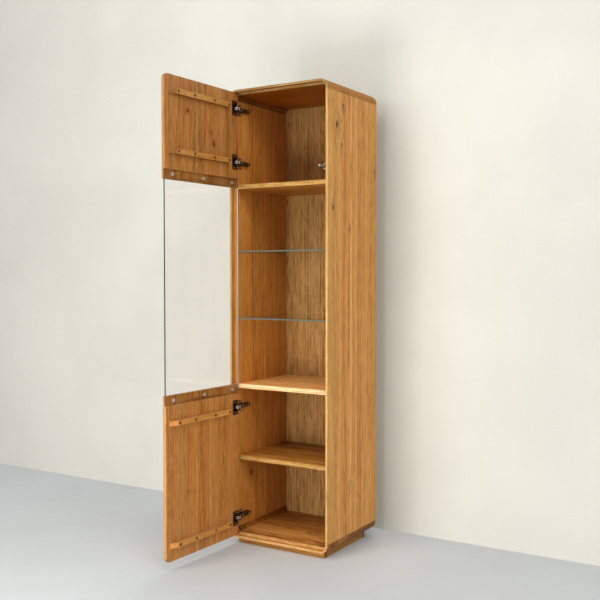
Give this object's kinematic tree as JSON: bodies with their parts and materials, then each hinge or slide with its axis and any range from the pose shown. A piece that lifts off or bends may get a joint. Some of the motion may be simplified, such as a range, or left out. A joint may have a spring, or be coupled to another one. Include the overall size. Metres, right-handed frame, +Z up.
{
  "type": "display cabinet",
  "caption": "Tall narrow free-standing oak display cabinet with rounded corners and an open door of two wood panels and a clear glass pane, wood and glass shelves and concealed hinges.",
  "frame": {"origin": "middle of the underside of the rear plinth board, on the floor", "axes": "+X to the cabinet's right as seen from the front, +Y to the back, +Z up"},
  "size_m": [0.5, 0.9051, 2],
  "materials": {
    "oak": "satin",
    "oak_veneer": "satin",
    "beech": "matte",
    "clear_glass": "polished",
    "clear_plastic": "gloss",
    "bright_nickel": "polished",
    "dark_nickel": "satin",
    "dark_screw": "satin",
    "black_plastic": "matte",
    "grey_plastic": "satin"
  },
  "bodies": {
    "case": {"back_panel": "oak_veneer", "back_panel_screws": "dark_screw", "bottom_panel": "oak", "carcass_dowels": "beech", "glass_shelf_pins": "bright_nickel", "hinge_arm_bottom": "dark_nickel", "hinge_arm_pins": "bright_nickel", "hinge_arm_screws": "bright_nickel", "hinge_arm_second": "dark_nickel", "hinge_arm_third": "dark_nickel", "hinge_arm_top": "dark_nickel", "hinge_plate_bottom": "dark_nickel", "hinge_plate_screws": "bright_nickel", "hinge_plate_second": "dark_nickel", "hinge_plate_third": "dark_nickel", "hinge_plate_top": "dark_nickel", "latch_bracket": "bright_nickel", "latch_housing": "black_plastic", "latch_screws": "bright_nickel", "loose_shelf_pins": "bright_nickel", "lower_shelf": "oak", "plinth_front": "oak", "plinth_left": "oak", "plinth_rear": "oak", "plinth_right": "oak", "side_panel_left": "oak", "side_panel_right": "oak", "top_panel": "oak", "upper_shelf": "oak"},
    "door": {"batten_screws": "dark_screw", "door_batten_bottom": "oak", "door_batten_second": "oak", "door_batten_third": "oak", "door_batten_top": "oak", "door_pane": "clear_glass", "door_panel_lower": "oak", "door_panel_upper": "oak", "hinge_cup_bottom": "dark_nickel", "hinge_cup_screws": "bright_nickel", "hinge_cup_second": "dark_nickel", "hinge_cup_third": "dark_nickel", "hinge_cup_top": "dark_nickel", "pane_bushes": "clear_plastic", "pane_caps": "bright_nickel", "pane_screws": "dark_screw"},
    "plunger": {"latch_plunger": "grey_plastic"},
    "hinge_link_top": {"hinge_link_top": "bright_nickel"},
    "hinge_link_second": {"hinge_link_second": "bright_nickel"},
    "hinge_link_third": {"hinge_link_third": "bright_nickel"},
    "hinge_link_bottom": {"hinge_link_bottom": "bright_nickel"},
    "upper_glass_shelf": {"upper_glass_shelf": "clear_glass"},
    "lower_glass_shelf": {"lower_glass_shelf": "clear_glass"},
    "loose_shelf": {"loose_shelf": "oak"}
  },
  "joints": [
    {"name": "door_swing", "type": "hinge", "parent": "case", "child": "door", "pos_m": [-0.2298, -0.3711, 1.013], "axis": [0, 0, 1], "range_deg": [-3, 91.2]},
    {"name": "latch_push", "type": "slide", "parent": "case", "child": "plunger", "axis": [0, 1, 0], "range_m": [-0.0015, 0.0395]},
    {"name": "link_top_swing", "type": "hinge", "parent": "case", "child": "hinge_link_top", "pos_m": [-0.205, -0.36, 1.919], "axis": [0, 0, 1], "range_deg": [-59.6, 2.2]},
    {"name": "link_second_swing", "type": "hinge", "parent": "case", "child": "hinge_link_second", "pos_m": [-0.205, -0.36, 1.685], "axis": [0, 0, 1], "range_deg": [-59.6, 2.2]},
    {"name": "link_third_swing", "type": "hinge", "parent": "case", "child": "hinge_link_third", "pos_m": [-0.205, -0.36, 0.608], "axis": [0, 0, 1], "range_deg": [-59.6, 2.2]},
    {"name": "link_bottom_swing", "type": "hinge", "parent": "case", "child": "hinge_link_bottom", "pos_m": [-0.205, -0.36, 0.115], "axis": [0, 0, 1], "range_deg": [-59.6, 2.2]},
    {"name": "upper_glass_shelf_lift", "type": "slide", "parent": "case", "child": "upper_glass_shelf", "axis": [0, 0, 1], "range_m": [0, 0.06]},
    {"name": "lower_glass_shelf_lift", "type": "slide", "parent": "case", "child": "lower_glass_shelf", "axis": [0, 0, 1], "range_m": [0, 0.06]},
    {"name": "loose_shelf_lift", "type": "slide", "parent": "case", "child": "loose_shelf", "axis": [0, 0, 1], "range_m": [0, 0.06]}
  ],
  "couplings": [
    {"joint": "latch_push", "follows": "door_swing", "m_per_rad": 0.0245},
    {"joint": "link_top_swing", "follows": "door_swing", "ratio": -0.6502},
    {"joint": "link_second_swing", "follows": "door_swing", "ratio": -0.6502},
    {"joint": "link_third_swing", "follows": "door_swing", "ratio": -0.6502},
    {"joint": "link_bottom_swing", "follows": "door_swing", "ratio": -0.6502}
  ]
}
